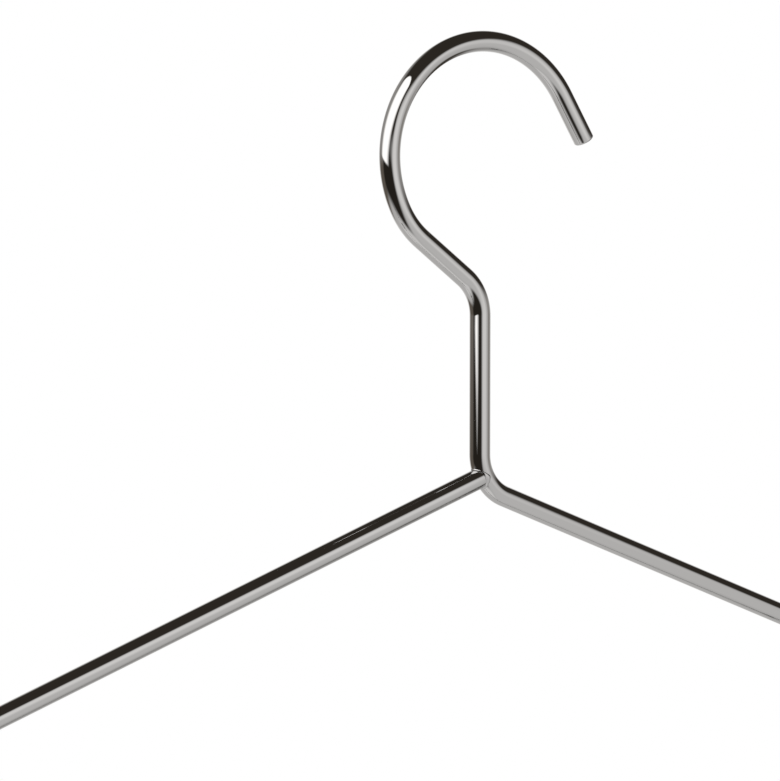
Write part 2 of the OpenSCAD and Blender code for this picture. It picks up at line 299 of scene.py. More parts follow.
def endRings(place, heading, radius, edge, sides):
    # a cut end, from near its middle out to the rod's side round a softened edge
    rings = [rodRing(place, heading, (radius - edge) * share, sides) for share in (0.35, 0.7, 0.93)]
    for degrees in range(0, 91, 10):
        angle = math.radians(degrees)
        back = edge * (1 - math.cos(angle))
        centre = (place[0] - heading[0] * back, place[1] - heading[1] * back)
        rings.append(rodRing(centre, heading, radius - edge + edge * math.sin(angle), sides))
    return rings


def rodRings(path, radius, sides, startEdge=0.0, endEdge=0.0):
    rings = [rodRing(place, heading, radius, sides) for place, heading in path]
    if startEdge:
        place, heading = path[0]
        outwards = (-heading[0], -heading[1])
        start = endRings(place, outwards, radius, startEdge, sides)
        # the end looks the other way, so its points are put back in step with the rod's
        half = sides // 2
        start = [[ring[(half - k) % sides] for k in range(sides)] for ring in start]
        rings = start + rings[1:]
    if endEdge:
        place, heading = path[-1]
        rings = rings[:-1] + endRings(place, heading, radius, endEdge, sides)[::-1]
    return rings


# Rods
rod = {
    "diameter": 5.0, "sides": 96, "tipEdge": 0.45, "cutEdge": 0.12,
    "hookInner": 49.5, "tipAngle": 31.5, "tipLength": 12.7, "tailBend": 21.0, "tailTurn": 26.0,
    "tailSlope": 36.5, "hookOffset": 0.85, "hookRise": 79.0,
    "width": 420.0, "slope": 20.4, "leftRise": 1.9,
    "neckBend": 11.5, "cornerBend": 11.0, "endBend": 11.0, "barStub": 10.0,
}
rodR = rod["diameter"] / 2
hookR = rod["hookInner"] / 2 + rodR
hookCentre = (0.0, -rod["hookInner"] / 2)
neckX = -rod["hookOffset"]
cornerZ = hookCentre[1] - rod["hookRise"]
tipStart = around(hookCentre, hookR, rod["tipAngle"])
tipEnd = along(tipStart, rod["tipAngle"] - 90, rod["tipLength"])
tailEndAngle = 270 - rod["tailSlope"]
tailBendAngle = tailEndAngle - rod["tailTurn"]
tailCentre = around(hookCentre, hookR - rod["tailBend"], tailBendAngle)
tailStart = around(tailCentre, rod["tailBend"], tailEndAngle)
neckTurn = 90 - rod["tailSlope"]
neckTopZ = tailStart[1] - (neckX - tailStart[0]) * math.tan(math.radians(rod["tailSlope"]))
neckCentre = (neckX - rod["neckBend"], neckTopZ - rod["neckBend"] * math.tan(math.radians(neckTurn / 2)))
cornerEndAngle = 270 - rod["slope"]
cornerTurn = cornerEndAngle - 180
cornerCentre = (neckX + rod["cornerBend"],
                cornerZ + rod["cornerBend"] * math.tan(math.radians(cornerTurn / 2)))
cornerEnd = around(cornerCentre, rod["cornerBend"], cornerEndAngle)
endReach = rod["width"] / 2 - rodR - rod["endBend"]
endZ = (cornerZ - endReach * math.tan(math.radians(rod["slope"]))
        - rod["endBend"] / math.cos(math.radians(rod["slope"])))
rightEnd = (neckX + endReach, endZ)
leftEnd = (neckX - endReach, endZ)
barZ = endZ - rod["endBend"]
barReach = endReach - rod["barStub"]
leftFoot = (neckX, cornerZ + rod["leftRise"])
leftSpan = math.dist(leftFoot, leftEnd)
leftSlope = math.degrees(math.asin((leftFoot[1] - endZ) / leftSpan) - math.asin(rod["endBend"] / leftSpan))

hookPath = (
    linePath(tipEnd, tipStart, 6)[:-1]
    + arcPath(hookCentre, hookR, rod["tipAngle"], tailBendAngle)
    + arcPath(tailCentre, rod["tailBend"], tailBendAngle, tailEndAngle)[1:]
    + linePath(tailStart, around(neckCentre, rod["neckBend"], neckTurn), 6)[1:-1]
    + arcPath(neckCentre, rod["neckBend"], neckTurn, 0)
    + linePath((neckX, neckCentre[1]), (neckX, cornerCentre[1]), 12)[1:-1]
    + arcPath(cornerCentre, rod["cornerBend"], 180, cornerEndAngle)
    + linePath(cornerEnd, around(rightEnd, rod["endBend"], 90 - rod["slope"]), 24)[1:-1]
    + arcPath(rightEnd, rod["endBend"], 90 - rod["slope"], -90, 2.0)
    + linePath((rightEnd[0], barZ), (neckX + barReach, barZ), 3)[1:]
)
leftPath = (
    linePath((neckX - barReach, barZ), (leftEnd[0], barZ), 3)[:-1]
    + arcPath(leftEnd, rod["endBend"], 270, 90 + leftSlope, 2.0)
    + linePath(around(leftEnd, rod["endBend"], 90 + leftSlope), leftFoot, 24)[1:]
)
barPath = linePath((neckX - barReach, barZ), (neckX + barReach, barZ), 40)


def makeRod(name, node, path, startEdge=0.0, endEdge=0.0):
    mesh = bmesh.new()
    addRings(mesh, rodRings(path, rodR, rod["sides"], startEdge, endEdge))
    finishPiece(name, mesh, rodChrome, node, "frame")


makeRod("hook_rod_polished", "hook_rod", hookPath, startEdge=rod["tipEdge"])
makeRod("left_shoulder_rod_polished", "left_shoulder_rod", leftPath, endEdge=rod["cutEdge"])
makeRod("trouser_bar_polished", "trouser_bar", barPath)
print("rods made")


# Welds: a small raised bead all round the left rod's end, and two polished swells on the bar.
# The bead's feet are sunk into both rods, which leaves a fine crease on either side of it.
weld = {
    "onRod": 0.25, "onNeck": 0.50, "neckOut": 0.2, "lift": 0.55, "sink": 0.14, "depth": 0.9,
    "ripple": 0.09, "rippleSeed": 11, "seamSmoothing": 5, "rippleSmoothing": 4, "around": 120, "profile": 8,
    "barRise": 0.13, "barSink": 0.01, "barLength": 1.6, "barSteps": 24,
}
seamSearch = {"neckReach": 12.0, "start": 8.0, "longest": 14.0, "touch": 0.003, "leastStep": 0.02}
neckLine = (
    linePath((neckX, cornerCentre[1] + seamSearch["neckReach"]), (neckX, cornerCentre[1]), 2)[:-1]
    + arcPath(cornerCentre, rod["cornerBend"], 180, cornerEndAngle, 3.0)
    + linePath(cornerEnd, along(cornerEnd, -rod["slope"], seamSearch["neckReach"]), 2)[1:]
)
neckPoints = [Vector((x, 0, z)) for (x, z), _ in neckLine]


def nearestOnNeck(point):
    best = None
    for start, end in zip(neckPoints, neckPoints[1:]):
        run = end - start
        share = max(0.0, min(1.0, (point - start).dot(run) / run.length_squared))
        place = start + run * share
        if best is None or (point - place).length < (point - best).length:
            best = place
    return best


def gapToNeck(point):
    return (point - nearestOnNeck(point)).length - rodR


def ontoNeck(point, radius):
    axis = nearestOnNeck(point)
    return axis + (point - axis).normalized() * radius


def seamDistance(start, heading):
    # how far along the left rod its side meets the neck, or comes nearest to it
    travel, closest, closestTravel = 0.0, 1e9, 0.0
    while travel < seamSearch["longest"]:
        gap = gapToNeck(start + heading * travel)
        if gap < closest - 1e-4:
            closest, closestTravel = gap, travel
        if gap < seamSearch["touch"]:
            break
        travel += max(gap * 0.5, seamSearch["leastStep"])
    return closestTravel


def smoothLoop(values, times):
    for _ in range(times):
        following = values[1:] + values[:1]
        values = [(values[i - 1] + 2 * values[i] + following[i]) / 4 for i in range(len(values))]
    return values


def makeNeckWeld():
    heading = Vector((math.cos(math.radians(leftSlope)), 0, math.sin(math.radians(leftSlope))))
    side = Vector((0, 1, 0))
    up = side.cross(heading)
    if up.z < 0:
        up = -up
    foot = Vector((leftFoot[0], 0, leftFoot[1]))
    outs = []
    for k in range(weld["around"]):
        angle = 2 * math.pi * k / weld["around"]
        outs.append(up * math.cos(angle) + side * math.sin(angle))
    back = seamSearch["start"]
    seams = [seamDistance(foot - heading * back + out * rodR, heading) - back for out in outs]
    seams = smoothLoop(seams, weld["seamSmoothing"])
    rippler = random.Random(weld["rippleSeed"])
    lifts = [weld["lift"] + rippler.uniform(-1, 1) * weld["ripple"] for _ in outs]
    lifts = smoothLoop(lifts, weld["rippleSmoothing"])
    rings = []
    for out, seam, lift in zip(outs, seams, lifts):
        onRod = foot + heading * (min(seam, 0.0) - weld["onRod"]) + out * (rodR - weld["sink"])
        meet = foot + heading * seam + out * rodR
        onNeck = ontoNeck(meet + heading * weld["onNeck"] + out * weld["neckOut"], rodR - weld["sink"])
        middle = (onRod + onNeck) / 2
        crown = middle + (meet - middle) * 0.5 + out * lift
        ring = []
        for i in range(weld["profile"] + 1):
            t = i / weld["profile"]
            ring.append(onRod * (1 - t) ** 2 + crown * 2 * t * (1 - t) + onNeck * t ** 2)
        inner = middle - out * weld["depth"]  # the bead closes inside the rods
        ring.append(onNeck * 0.4 + inner * 0.6)
        ring.append(onRod * 0.4 + inner * 0.6)
        rings.append([point * mm for point in ring])
    mesh = bmesh.new()
    addRings(mesh, rings, closeLoop=True)
    finishPiece("neck_weld_bead", mesh, weldChromeShaded, "neck_weld", "frame")


def makeBarWeld(name, node, x):
    rings = []
    for i in range(weld["barSteps"] + 1):
        share = i / weld["barSteps"]
        radius = rodR - weld["barSink"] + weld["barRise"] * math.sin(math.pi * share) ** 1.5
        rings.append(rodRing((x + (share - 0.5) * weld["barLength"], barZ), (1, 0), radius, rod["sides"]))
    mesh = bmesh.new()
    addRings(mesh, rings)
    finishPiece(name, mesh, weldChromeShaded, node, "frame")


makeNeckWeld()
makeBarWeld("left_bar_weld_polished", "left_bar_weld", neckX - barReach)
makeBarWeld("right_bar_weld_polished", "right_bar_weld", neckX + barReach)
print("welds made")


# Clips: places are (x, y, z) from the middle of the clip on the bar's axis, for the rear jaw
clip = {
    "x": 120.0, "width": 26.0, "sheet": 1.0, "sheetY": 8.0, "bendR": 6.0, "waist": 4.0,
    "leverLean": 30.0, "leverRun": 9.0, "rollR": 2.0, "roll": 100.0, "jawLean": 14.0,
    "earR": 5.2, "earInset": 0.3, "earGap": 0.3, "earEdge": 0.15, "sheetEdge": 0.3, "planCorner": 2.5,
    "columns": 44, "notchAboveEar": 1.5, "notchSoft": 0.5,
    "beadHeight": 0.45, "beadWidth": 2.0, "beadTopZ": (-11.0, -8.0), "beadFromTip": (3.5, 0.5),
    "ridgeHeight": 0.3, "ridgePlaces": (11.0, 13.2, 15.4), "ridgeWidth": 0.42, "ridgeFromSide": (4.5, 3.0),
}
pad = {
    "grip": 2.3, "wall": 1.2, "gap": 0.3, "height": 10.5, "margin": 0.5, "grooves": 4, "grooveR": 0.5,
    "corner": 1.0, "edge": 0.55,
}
bush = {"wall": 0.9, "clearance": 0.05, "earClearance": 0.1}
halfSheet = clip["sheet"] / 2
halfClip = clip["width"] / 2
bushR = rodR + bush["clearance"] + bush["wall"]
earBoreR = bushR + bush["earClearance"]
rearEarX = halfClip - clip["earInset"] - clip["sheet"]
frontEarX = rearEarX - clip["earGap"] - clip["earInset"] - clip["sheet"]
frontWaist = frontEarX + clip["sheet"] + clip["earInset"]
tipY = pad["gap"] / 2 + pad["grip"] + halfSheet
jawLean = math.radians(clip["jawLean"])
jawRun = (clip["sheetY"] - tipY - 2 * clip["bendR"] * (1 - math.cos(jawLean))) / math.sin(jawLean)
tipRun = pad["height"] + pad["margin"]
tipTopZ = -(clip["waist"] + 2 * clip["bendR"] * math.sin(jawLean) + jawRun * math.cos(jawLean))
padBottomZ = tipTopZ - tipRun - pad["wall"]
notchTopZ = clip["earR"] + clip["notchAboveEar"]


def smoothStep(low, high, value):
    t = max(0.0, min(1.0, (value - low) / (high - low)))
    return t * t * (3 - 2 * t)


def bentLine(runs):
    # the sheet's middle as (y, z, lean), from the bar's height upwards
    y, z, lean = 0.0, 0.0, 0.0
    line = [(y, z, lean)]
    for length, bendR, turn in runs:
        steps = max(1, round(length * 2))
        pieces = [(length / steps, 0.0)] * steps
        bends = math.ceil(abs(turn) / 4)
        if bends:
            chord = 2 * bendR * math.sin(math.radians(abs(turn) / bends / 2))
            pieces += [(chord, turn / bends)] * bends
        for step, bend in pieces:
            angle = math.radians(lean + bend / 2)
            y += math.sin(angle) * step
            z += math.cos(angle) * step
            lean += bend
            line.append((y, z, lean))
    return line


upLine = bentLine([(clip["waist"], clip["bendR"], clip["leverLean"]),
                   (clip["leverRun"], clip["rollR"], clip["roll"])])
downLine = bentLine([(clip["waist"], clip["bendR"], -clip["jawLean"]),
                     (jawRun, clip["bendR"], clip["jawLean"]), (tipRun, 0, 0)])
# one line from the jaw's tip up to the lever's rolled edge, with the way each place leans
sheetLine = [(y, -z, -lean) for y, z, lean in reversed(downLine)] + upLine[1:]


def pressed(x, z, distanceUp):
    # a stiffening bead down the jaw, and finger ridges across the lever
    bead = 1 - smoothStep(clip["beadWidth"] * 0.6, clip["beadWidth"] * 1.3, abs(x))
    low, high = clip["beadFromTip"]
    bead *= smoothStep(tipTopZ - low, tipTopZ - high, z) * (1 - smoothStep(*clip["beadTopZ"], z))
    ridge = sum(math.exp(-((distanceUp - place) / clip["ridgeWidth"]) ** 2) for place in clip["ridgePlaces"])
    inner, outer = clip["ridgeFromSide"]
    ridge *= 1 - smoothStep(halfClip - inner, halfClip - outer, abs(x))
    return clip["beadHeight"] * bead + clip["ridgeHeight"] * ridge


def sheetOutline(halfWidth):
    # round the sheet's section as (x, depth), with softened edges
    flat = halfWidth - clip["sheetEdge"]
    edge = clip["sheetEdge"]
    xs = [flat * (2 * i / clip["columns"] - 1) for i in range(clip["columns"] + 1)]
    outline = [(x, halfSheet) for x in xs]
    for degrees in (60, 30, 0, -30, -60):
        angle = math.radians(degrees)
        depth = (halfSheet - edge) * (1 if degrees > 0 else -1 if degrees < 0 else 0)
        outline.append((flat + edge * math.cos(angle), depth + edge * math.sin(angle)))
    return outline + [(-x, -depth) for x, depth in outline]


def sheetRings(narrowWaist):
    distances = [0.0]
    for (y0, z0, _), (y1, z1, _) in zip(sheetLine, sheetLine[1:]):
        distances.append(distances[-1] + math.hypot(y1 - y0, z1 - z0))
    waistDistance = distances[len(downLine) - 1]
    rings = []
    for (y, z, lean), distance in zip(sheetLine, distances):
        halfWidth = halfClip
        if narrowWaist:
            notch = 1 - smoothStep(notchTopZ - clip["notchSoft"], notchTopZ + clip["notchSoft"], abs(z))
            halfWidth -= (halfClip - frontWaist) * notch
        corner = clip["planCorner"]
        fromEnd = min(distance, distances[-1] - distance, corner)
        halfWidth -= corner - math.sqrt(corner ** 2 - (corner - fromEnd) ** 2)
        angle = math.radians(lean)
        ring = []
        for x, depth in sheetOutline(halfWidth):
            lift = depth + pressed(x, z, distance - waistDistance)
            ring.append(Vector((x, clip["sheetY"] + y + math.cos(angle) * lift, z - math.sin(angle) * lift)))
        rings.append(ring)
    return rings


def earRings(innerX, way):
    edge, count = clip["earEdge"], 96
    nearX, farX = sorted((way * innerX, way * (innerX + clip["sheet"])))
    loops = ((nearX + edge, "bore", 0), (nearX, "bore", edge), (nearX, "rim", edge), (nearX + edge, "rim", 0),
             (farX - edge, "rim", 0), (farX, "rim", edge), (farX, "bore", edge), (farX - edge, "bore", 0))
    rings = []
    for x, kind, inset in loops:
        ring = []
        for k in range(count):
            angle = 2 * math.pi * (k + 0.5) / count
            c, s = math.cos(angle), math.sin(angle)
            reach = earBoreR + inset if kind == "bore" else clip["earR"] - inset
            if kind == "rim" and c > 0:  # the ear runs square into the sheet
                reach = min(reach / max(abs(s), 1e-6), (clip["sheetY"] - 0.1) / c)
            ring.append(Vector((x, reach * c, reach * s)))
        rings.append(ring)
    return rings


def padRings():
    halfX = halfClip + pad["wall"]
    nearY = pad["gap"] / 2
    farY = tipY + halfSheet + pad["wall"]
    middle, halfY = (nearY + farY) / 2, (farY - nearY) / 2
    bottom, top = padBottomZ, padBottomZ + pad["height"] + pad["wall"]
    edge, corner = pad["edge"], pad["corner"]
    pitch = pad["height"] / (pad["grooves"] + 1)
    rounding = [(edge * (1 - math.cos(math.radians(15 * i))), edge * (1 - math.sin(math.radians(15 * i))))
                for i in range(7)]
    straight = 90
    levels = [(bottom + up, inset) for up, inset in rounding]
    levels += [(bottom + edge + (top - bottom - 2 * edge) * i / straight, 0.0) for i in range(1, straight)]
    levels += [(top - down, inset) for down, inset in reversed(rounding)]
    rings = []
    for z, inset in levels:
        outline = []
        for quarter, (wayX, wayY) in enumerate(((1, 1), (-1, 1), (-1, -1), (1, -1))):
            for i in range(8):
                place = around((wayX * (halfX - corner), wayY * (halfY - corner)), corner - inset,
                               90 * quarter + 90 * i / 7)
                outline.append(place)
            if quarter in (0, 2):  # more points along the two wide faces
                outline += [(wayX * (halfX - corner) * (1 - 2 * share), wayY * (halfY - inset))
                            for share in (0.02, 0.2, 0.4, 0.6, 0.8, 0.98)]
        ring = []
        for x, y in outline:
            groove = 0.0
            for i in range(1, pad["grooves"] + 1):
                away = abs(z - (bottom + i * pitch))
                if y < 0 and away < pad["grooveR"]:
                    groove = math.sqrt(pad["grooveR"] ** 2 - away ** 2)
            groove *= 1 - smoothStep(-halfY + corner * 0.2, -halfY + corner, y)
            ring.append(Vector((x, middle + y + groove, z)))
        rings.append(ring)
    return rings


# Spring: a coil round the bush with a leg up the inside of each lever
spring = {
    "wire": 1.2, "coilClearance": 0.3, "pitch": 1.9, "turns": 6, "legClearance": 0.15, "kneeUp": 0.5,
    "kneeCut": 0.9, "sides": 16, "stepDegrees": 6.0,
}
wireR = spring["wire"] / 2
coilR = bushR + spring["coilClearance"] + wireR


def insideLever(up):
    lean = math.radians(clip["leverLean"])
    back = halfSheet + spring["legClearance"] + wireR
    footY = clip["sheetY"] + clip["bendR"] * (1 - math.cos(lean))
    footZ = clip["waist"] + clip["bendR"] * math.sin(lean)
    return (footY + up * math.sin(lean) - back * math.cos(lean),
            footZ + up * math.cos(lean) + back * math.sin(lean))


def legPoints(x, way, coilEnd):
    # from the leg's end down to its knee, round it and on to the coil
    endY, endZ = insideLever(clip["leverRun"] - spring["wire"])
    kneeY, kneeZ = insideLever(spring["kneeUp"])
    end, knee = Vector((x, way * endY, endZ)), Vector((x, way * kneeY, kneeZ))
    cut = spring["kneeCut"]
    before = knee + (end - knee).normalized() * cut
    after = knee + (coilEnd - knee).normalized() * cut
    points = [end, end + (before - end) * 0.04, end + (before - end) * 0.5]
    for i in range(7):
        t = i / 6
        points.append(before * (1 - t) ** 2 + knee * 2 * t * (1 - t) + after * t ** 2)
    points += [after + (coilEnd - after) * share for share in (0.5, 0.95)]
    return points


def springRings():
    kneeY, kneeZ = insideLever(spring["kneeUp"])
    legTurn = math.degrees(math.atan2(kneeZ, kneeY) - math.acos(coilR / math.hypot(kneeY, kneeZ)))
    sweep = 360 * spring["turns"] + 2 * legTurn - 180
    length = spring["pitch"] * sweep / 360
    count = math.ceil(sweep / spring["stepDegrees"])
    coil = []
    for i in range(count + 1):
        y, z = around((0, 0), coilR, legTurn - sweep * i / count)
        coil.append(Vector((length * (i / count - 0.5), y, z)))
    firstLeg = legPoints(-length / 2, 1, coil[0])
    lastLeg = legPoints(length / 2, -1, coil[-1])
    points = firstLeg + coil + lastLeg[::-1]
    rings = []
    up = Vector((1, 0, 0))
    for i, centre in enumerate(points):
        heading = (points[min(i + 1, len(points) - 1)] - points[max(i - 1, 0)]).normalized()
        up = (up - heading * up.dot(heading)).normalized()  # carried along, so the wire doesn't twist
        across = heading.cross(up)
        ring = []
        for k in range(spring["sides"]):
            angle = 2 * math.pi * k / spring["sides"]
            ring.append(centre + (up * math.cos(angle) + across * math.sin(angle)) * wireR)
        rings.append(ring)
    return rings, length


def onBar(rings, side, mirrored):
    way = -1 if mirrored else 1
    return [[Vector((neckX + side * clip["x"] + p.x, way * p.y, barZ + p.z)) * mm for p in ring]
            for ring in rings]


def makeClip(sideName, side):
    rearBody, frontBody = sideName + "_rear_clip", sideName + "_front_clip"
    for role, mirrored, earX, body in (("rear", False, rearEarX, rearBody),
                                       ("front", True, frontEarX, frontBody)):
        mesh = bmesh.new()
        addRings(mesh, onBar(sheetRings(role == "front"), side, mirrored))
        for way in (-1, 1):
            addRings(mesh, onBar(earRings(earX, way), side, mirrored), closeLoop=True)
        finishPiece(f"{sideName}_{role}_jaw_stamped", mesh, clipChrome,
                    f"{sideName}_{role}_jaw", body)
        mesh = bmesh.new()
        addRings(mesh, onBar(padRings(), side, mirrored))
        finishPiece(f"{sideName}_{role}_pad_moulded", mesh, padRubber,
                    f"{sideName}_{role}_pad", body)
    rings, coilLength = springRings()
    mesh = bmesh.new()
    addRings(mesh, onBar(rings, side, False))
    coil = finishPiece(f"{sideName}_spring_wound", mesh, springSteel, f"{sideName}_spring")
    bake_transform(coil)
    for slotOfBush in nodes[sideName + "_bush"].material_slots:
        slotOfBush.material = bushNylon


makeClip("left", -1)
makeClip("right", 1)
print("clips made")


# Studio: a closed room of light and dark cards that only the metal and plastic reflect.
# Its walls are metres from the hook's centre, and a card's place is the direction in which that
# centre sees it: azimuth 0 is the front and grows to the viewer's right, elevation grows upwards.
# These values weren't placed by hand: room, cards and softbox are rounded from a fit to the rods'
# reflections in the photo, with five cards left out and a few levels and one height changed since.
room = {"left": 0.8, "right": 1.0, "front": 0.4, "back": 1.0, "down": 0.75, "up": 1.2}
darkLevel = 0.03
cards = [
    {"name": "paleFloor", "azimuth": 0, "elevation": -60, "halfWide": 360, "halfHigh": 65,
     "tilt": 0, "corner": 0, "soft": 15, "level": 0.6},
    {"name": "frontCard", "azimuth": 20, "elevation": -30, "halfWide": 30, "halfHigh": 50,
     "tilt": 0, "corner": 5, "soft": 20, "level": 0.65},
    {"name": "frontGlow", "azimuth": 15, "elevation": 0, "halfWide": 20, "halfHigh": 15,
     "tilt": 0, "corner": 10, "soft": 25, "level": 0.9},
    {"name": "backCard", "azimuth": 160, "elevation": 0, "halfWide": 40, "halfHigh": 30,
     "tilt": 0, "corner": 20, "soft": 20, "level": 0.8},
    {"name": "backLamp", "azimuth": 170, "elevation": 15, "halfWide": 10, "halfHigh": 10,
     "tilt": 0, "corner": 10, "soft": 15, "level": 1.2},
    {"name": "rightCard", "azimuth": 80, "elevation": -5, "halfWide": 20, "halfHigh": 10,
     "tilt": 0, "corner": 10, "soft": 20, "level": 0.3},
    {"name": "rightFloor", "azimuth": 95, "elevation": -45, "halfWide": 25, "halfHigh": 25,
     "tilt": -10, "corner": 15, "soft": 25, "level": 0.4},
    {"name": "rightFlag", "azimuth": 105, "elevation": -25, "halfWide": 30, "halfHigh": 10,
     "tilt": 25, "corner": 10, "soft": 15, "level": 0.05},
    {"name": "backLeftCard", "azimuth": -160, "elevation": 20, "halfWide": 35, "halfHigh": 25,
     "tilt": 0, "corner": 20, "soft": 25, "level": 0.35},
    {"name": "backLeftFlag", "azimuth": -140, "elevation": -15, "halfWide": 35, "halfHigh": 15,
     "tilt": 0, "corner": 15, "soft": 15, "level": 0.12},
    {"name": "leftFlag", "azimuth": -65, "elevation": -15, "halfWide": 50, "halfHigh": 30,
     "tilt": -20, "corner": 20, "soft": 20, "level": 0.02},
    {"name": "leftFloor", "azimuth": -75, "elevation": -70, "halfWide": 50, "halfHigh": 15,
     "tilt": -5, "corner": 10, "soft": 20, "level": 0.8},
]
# the window of light on the left is a flat sheet: each edge has its outward direction in the sheet,
# and its offset and softness as shares of the sheet's distance
softbox = {
    "azimuth": -85, "level": 1.6, "leastFacing": 0.02,
    "edges": [
        {"name": "left", "outward": 180, "offset": 0.9, "soft": 1.0},
        {"name": "top", "outward": 90, "offset": 1.8, "soft": 0.1},
        {"name": "bottom", "outward": -95, "offset": 0.09, "soft": 0.05},
        {"name": "right", "outward": -45, "offset": 0.4, "soft": 0.6},
    ],
}
stage = {
    "floorZ": -0.30, "floorSize": 12.0, "floorColour": (0.9, 0.9, 0.9), "whiteFrom": 0.35, "whiteTo": 1.0,
    "softLight": 0.78, "lampPower": 4.5, "lampSize": (0.9, 0.7), "lampPlace": (-0.85, -0.65, 0.75),
}
darkTint = (1.2, 1.0, 0.8)
lightTint = (1.02, 1.0, 0.98)


def cardColour(level):
    share = smoothStep(0.02, 0.45, level)
    return tuple(level * (d * (1 - share) + b * share) for d, b in zip(darkTint, lightTint))


def makeCardGroup():
    group = bpy.data.node_groups.new("studioCard", "ShaderNodeTree")
    for name in ("Azimuth", "Elevation", "Centre Azimuth", "Centre Elevation", "Half Wide", "Half High",
                 "Tilt", "Corner", "Soft"):
        addSocket(group, name, "INPUT", 0.0)
    addSocket(group, "Mask", "OUTPUT")
    given = addNode(group, "NodeGroupInput").outputs
    outside = addNode(group, "NodeGroupOutput")
    away = calc(group, "WRAP", calc(group, "SUBTRACT", given["Azimuth"], given["Centre Azimuth"]), 180.0)
    away.node.inputs[2].default_value = -180.0
    above = calc(group, "SUBTRACT", given["Elevation"], given["Centre Elevation"])
    c, s = calc(group, "COSINE", given["Tilt"]), calc(group, "SINE", given["Tilt"])
    across = calc(group, "ADD", calc(group, "MULTIPLY", away, c), calc(group, "MULTIPLY", above, s))
    up = calc(group, "SUBTRACT", calc(group, "MULTIPLY", above, c), calc(group, "MULTIPLY", away, s))
    past = []
    for place, half in ((across, given["Half Wide"]), (up, given["Half High"])):
        inner = calc(group, "SUBTRACT", half, given["Corner"])
        past.append(calc(group, "SUBTRACT", calc(group, "ABSOLUTE", place), inner))
    outer = [calc(group, "MAXIMUM", p, 0.0) for p in past]
    reach = calc(group, "SQRT", calc(group, "ADD", calc(group, "MULTIPLY", outer[0], outer[0]),
                                     calc(group, "MULTIPLY", outer[1], outer[1])))
    within = calc(group, "MINIMUM", calc(group, "MAXIMUM", past[0], past[1]), 0.0)
    edge = calc(group, "SUBTRACT", calc(group, "ADD", reach, within), given["Corner"])
    half = calc(group, "MULTIPLY", given["Soft"], 0.5)
    group.links.new(fade(group, edge, calc(group, "MULTIPLY", half, -1.0), half, 1.0, 0.0),
                    outside.inputs["Mask"])
    return group


def makeEdgeGroup():
    group = bpy.data.node_groups.new("softboxEdge", "ShaderNodeTree")
    for name in ("Across", "Up", "Outward", "Offset", "Soft"):
        addSocket(group, name, "INPUT", 0.0)
    addSocket(group, "Mask", "OUTPUT")
    given = addNode(group, "NodeGroupInput").outputs
    outside = addNode(group, "NodeGroupOutput")
    run = calc(group, "ADD",
               calc(group, "MULTIPLY", given["Across"], calc(group, "COSINE", given["Outward"])),
               calc(group, "MULTIPLY", given["Up"], calc(group, "SINE", given["Outward"])))
    past = calc(group, "SUBTRACT", run, given["Offset"])
    half = calc(group, "MULTIPLY", given["Soft"], 0.5)
    group.links.new(fade(group, past, calc(group, "MULTIPLY", half, -1.0), half, 1.0, 0.0),
                    outside.inputs["Mask"])
    return group


def softboxMask(tree, direction):
    azimuth = math.radians(softbox["azimuth"])
    facing = addNode(tree, "ShaderNodeVectorMath", operation="DOT_PRODUCT")
    across = addNode(tree, "ShaderNodeVectorMath", operation="DOT_PRODUCT")
    facing.inputs[1].default_value = (math.sin(azimuth), -math.cos(azimuth), 0)
    across.inputs[1].default_value = (math.cos(azimuth), math.sin(azimuth), 0)
    for made in (facing, across):
        tree.links.new(direction, made.inputs[0])
    height = addNode(tree, "ShaderNodeSeparateXYZ")
    tree.links.new(direction, height.inputs[0])
    ahead = calc(tree, "MAXIMUM", facing.outputs["Value"], softbox["leastFacing"])
    acrossShare = calc(tree, "DIVIDE", across.outputs["Value"], ahead)
    upShare = calc(tree, "DIVIDE", height.outputs["Z"], ahead)
    mask = calc(tree, "GREATER_THAN", facing.outputs["Value"], softbox["leastFacing"])
    edgeGroup = makeEdgeGroup()
    for edge in softbox["edges"]:
        made = addNode(tree, "ShaderNodeGroup", node_tree=edgeGroup, label=edge["name"])
        for name, value in (("Across", acrossShare), ("Up", upShare),
                            ("Outward", math.radians(edge["outward"])),
                            ("Offset", edge["offset"]), ("Soft", edge["soft"])):
            feed(tree, value, made.inputs[name])
        mask = calc(tree, "MULTIPLY", mask, made.outputs["Mask"])
    return mask


